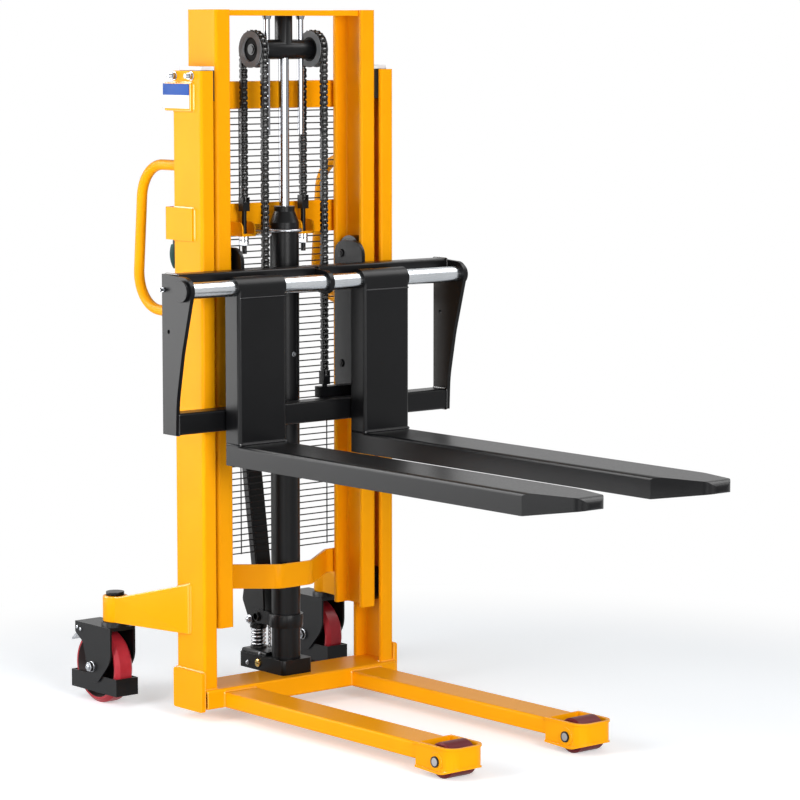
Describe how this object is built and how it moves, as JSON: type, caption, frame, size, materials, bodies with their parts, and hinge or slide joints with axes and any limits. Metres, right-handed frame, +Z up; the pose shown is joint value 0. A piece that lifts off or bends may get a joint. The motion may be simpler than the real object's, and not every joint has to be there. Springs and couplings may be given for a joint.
{
  "type": "hand pallet stacker",
  "caption": "Hand-pumped pallet stacker: two-stage channel mast with lift cylinder and chains raises a fork carriage; legs with load rollers, swivel casters, tiller.",
  "frame": {"origin": "on the floor under the middle of the machine's outline", "axes": "+X across the mast to the picture's right, +Y from the fork tips towards the tiller, +Z up"},
  "size_m": [0.844, 1.695, 1.668],
  "materials": {
    "orange_paint": "semi-gloss orange-yellow enamel",
    "black_paint": "semi-gloss black enamel",
    "bright_steel": "ground and zinc-plated steel",
    "chrome": "polished hard chrome",
    "chain_steel": "oiled dark steel",
    "roller_nylon": "red polyurethane and nylon",
    "pale_nylon": "off-white nylon",
    "grip_plastic": "dark green moulded grip"
  },
  "bodies": {
    "chassis": {"base_crossbeam": "orange_paint", "legs": "orange_paint", "wheel_housings": "orange_paint", "foot_plates": "orange_paint", "outer_post_left": "orange_paint", "outer_post_right": "orange_paint", "upper_tie_plate": "orange_paint", "mid_tie_plate": "orange_paint", "cylinder_strap": "orange_paint", "caster_arms": "orange_paint", "push_handles": "orange_paint", "mesh_guard": "black_paint", "lift_cylinder": "black_paint", "gland_nut": "black_paint", "cylinder_clamp": "bright_steel", "pump_block": "black_paint", "chain_anchor_bolts": "bright_steel", "guide_pads": "pale_nylon", "load_roller_axles": "bright_steel", "rear_chains": "chain_steel", "return_spring": "bright_steel", "caster_caps": "black_paint"},
    "inner_mast": {"inner_posts": "orange_paint", "top_beam": "orange_paint", "guide_rods": "chrome", "mast_roller_axles": "bright_steel"},
    "mast_roller_left": {"mast_roller_left": "bright_steel"},
    "mast_roller_right": {"mast_roller_right": "bright_steel"},
    "crosshead": {"crosshead": "black_paint", "piston_rod": "chrome", "sheave_pins": "bright_steel", "chain_wraps": "chain_steel"},
    "chain_sheave_left": {"chain_sheave_left": "black_paint"},
    "chain_sheave_right": {"chain_sheave_right": "black_paint"},
    "front_chains": {"front_chains": "chain_steel"},
    "carriage": {"carriage_plates": "black_paint", "upper_bar": "black_paint", "lower_bar": "black_paint", "side_plates": "black_paint", "fork_shaft": "bright_steel", "centre_lug": "black_paint", "chain_clevises": "black_paint"},
    "carriage_roller_upper_left": {"carriage_roller_upper_left": "bright_steel"},
    "carriage_roller_upper_right": {"carriage_roller_upper_right": "bright_steel"},
    "carriage_roller_lower_left": {"carriage_roller_lower_left": "bright_steel"},
    "carriage_roller_lower_right": {"carriage_roller_lower_right": "bright_steel"},
    "fork_left": {"fork_left": "black_paint"},
    "fork_right": {"fork_right": "black_paint"},
    "caster_left": {"caster_fork_left": "black_paint"},
    "caster_right": {"caster_fork_right": "black_paint"},
    "caster_wheel_left": {"caster_wheel_left": "roller_nylon"},
    "caster_wheel_right": {"caster_wheel_right": "roller_nylon"},
    "brake_left": {"brake_lever_left": "bright_steel"},
    "brake_right": {"brake_lever_right": "bright_steel"},
    "load_roller_left": {"load_roller_left": "roller_nylon"},
    "load_roller_right": {"load_roller_right": "roller_nylon"},
    "tiller": {"tiller_bar": "black_paint", "tiller_grips": "grip_plastic"},
    "pump_plunger": {"pump_plunger": "black_paint"},
    "release_lever": {"release_lever": "black_paint"}
  },
  "joints": [
    {"name": "mast_lift", "type": "slide", "parent": "chassis", "child": "inner_mast", "axis": [0, 0, 1], "range_m": [-0.138, 0.465], "deforming": ["rear_chains"]},
    {"name": "free_lift", "type": "slide", "parent": "inner_mast", "child": "crosshead", "axis": [0, 0, 1], "range_m": [-0.154, 0]},
    {"name": "chain_feed", "type": "slide", "parent": "crosshead", "child": "front_chains", "axis": [0, 0, 1], "range_m": [-0.2, 0.5], "deforming": ["front_chains"]},
    {"name": "carriage_lift", "type": "slide", "parent": "front_chains", "child": "carriage", "axis": [0, 0, 1], "range_m": [-0.2, 0.05]},
    {"name": "mast_roller_left_spin", "type": "hinge", "parent": "inner_mast", "child": "mast_roller_left", "pos_m": [-0.2642, 0.44851, 0.266], "axis": [1, 0, 0], "continuous": true},
    {"name": "chain_sheave_left_spin", "type": "hinge", "parent": "crosshead", "child": "chain_sheave_left", "pos_m": [-0.089, 0.45251, 1.575], "axis": [1, 0, 0], "continuous": true},
    {"name": "carriage_roller_upper_left_spin", "type": "hinge", "parent": "carriage", "child": "carriage_roller_upper_left", "pos_m": [-0.2147, 0.45651, 1.084], "axis": [1, 0, 0], "continuous": true},
    {"name": "carriage_roller_lower_left_spin", "type": "hinge", "parent": "carriage", "child": "carriage_roller_lower_left", "pos_m": [-0.2147, 0.45651, 0.816], "axis": [1, 0, 0], "continuous": true},
    {"name": "mast_roller_right_spin", "type": "hinge", "parent": "inner_mast", "child": "mast_roller_right", "pos_m": [0.2642, 0.44851, 0.266], "axis": [1, 0, 0], "continuous": true},
    {"name": "chain_sheave_right_spin", "type": "hinge", "parent": "crosshead", "child": "chain_sheave_right", "pos_m": [0.089, 0.45251, 1.575], "axis": [1, 0, 0], "continuous": true},
    {"name": "carriage_roller_upper_right_spin", "type": "hinge", "parent": "carriage", "child": "carriage_roller_upper_right", "pos_m": [0.2147, 0.45651, 1.084], "axis": [1, 0, 0], "continuous": true},
    {"name": "carriage_roller_lower_right_spin", "type": "hinge", "parent": "carriage", "child": "carriage_roller_lower_right", "pos_m": [0.2147, 0.45651, 0.816], "axis": [1, 0, 0], "continuous": true},
    {"name": "fork_left_shift", "type": "slide", "parent": "carriage", "child": "fork_left", "axis": [1, 0, 0], "range_m": [-0.126, 0.13]},
    {"name": "fork_right_shift", "type": "slide", "parent": "carriage", "child": "fork_right", "axis": [-1, 0, 0], "range_m": [-0.167, 0.089]},
    {"name": "caster_left_swivel", "type": "hinge", "parent": "chassis", "child": "caster_left", "pos_m": [-0.325, 0.70451, 0.205], "axis": [0, 0, 1], "continuous": true},
    {"name": "caster_wheel_left_spin", "type": "hinge", "parent": "caster_left", "child": "caster_wheel_left", "pos_m": [-0.325, 0.75251, 0.09], "axis": [1, 0, 0], "continuous": true},
    {"name": "brake_left_pedal", "type": "hinge", "parent": "caster_left", "child": "brake_left", "pos_m": [-0.325, 0.81049, 0.173], "axis": [-1, 0, 0], "range_deg": [0, 18]},
    {"name": "load_roller_left_spin", "type": "hinge", "parent": "chassis", "child": "load_roller_left", "pos_m": [-0.193, -0.38849, 0.04], "axis": [1, 0, 0], "continuous": true},
    {"name": "caster_right_swivel", "type": "hinge", "parent": "chassis", "child": "caster_right", "pos_m": [0.325, 0.70451, 0.205], "axis": [0, 0, 1], "continuous": true},
    {"name": "caster_wheel_right_spin", "type": "hinge", "parent": "caster_right", "child": "caster_wheel_right", "pos_m": [0.325, 0.75251, 0.09], "axis": [1, 0, 0], "continuous": true},
    {"name": "brake_right_pedal", "type": "hinge", "parent": "caster_right", "child": "brake_right", "pos_m": [0.325, 0.81049, 0.173], "axis": [-1, 0, 0], "range_deg": [0, 18]},
    {"name": "load_roller_right_spin", "type": "hinge", "parent": "chassis", "child": "load_roller_right", "pos_m": [0.193, -0.38849, 0.04], "axis": [1, 0, 0], "continuous": true},
    {"name": "tiller_pump", "type": "hinge", "parent": "chassis", "child": "tiller", "pos_m": [0, 0.53151, 0.205], "axis": [-1, 0, 0], "range_deg": [0, 45], "stiffness_Nm_per_rad": 25, "springref_deg": -34.38},
    {"name": "plunger_stroke", "type": "slide", "parent": "chassis", "child": "pump_plunger", "axis": [0, 0, 1], "range_m": [-0.05, 0.001], "deforming": ["return_spring"]},
    {"name": "release_lever_pull", "type": "hinge", "parent": "tiller", "child": "release_lever", "pos_m": [0, 0.67389, 1.00268], "axis": [1, 0, 0], "range_deg": [0, 16], "stiffness_Nm_per_rad": 0.8, "springref_deg": -14.32}
  ],
  "couplings": [
    {"joint": "chain_feed", "follows": "mast_lift", "ratio": 1},
    {"joint": "carriage_lift", "follows": "free_lift", "ratio": 1},
    {"joint": "plunger_stroke", "follows": "tiller_pump", "m_per_rad": -0.03},
    {"joint": "chain_sheave_left_spin", "follows": "mast_lift", "rad_per_m": -24.64},
    {"joint": "mast_roller_left_spin", "follows": "mast_lift", "rad_per_m": -23.98},
    {"joint": "carriage_roller_upper_left_spin", "follows": "mast_lift", "rad_per_m": -23.98},
    {"joint": "carriage_roller_lower_left_spin", "follows": "mast_lift", "rad_per_m": -23.98},
    {"joint": "chain_sheave_right_spin", "follows": "mast_lift", "rad_per_m": -24.64},
    {"joint": "mast_roller_right_spin", "follows": "mast_lift", "rad_per_m": -23.98},
    {"joint": "carriage_roller_upper_right_spin", "follows": "mast_lift", "rad_per_m": -23.98},
    {"joint": "carriage_roller_lower_right_spin", "follows": "mast_lift", "rad_per_m": -23.98}
  ]
}
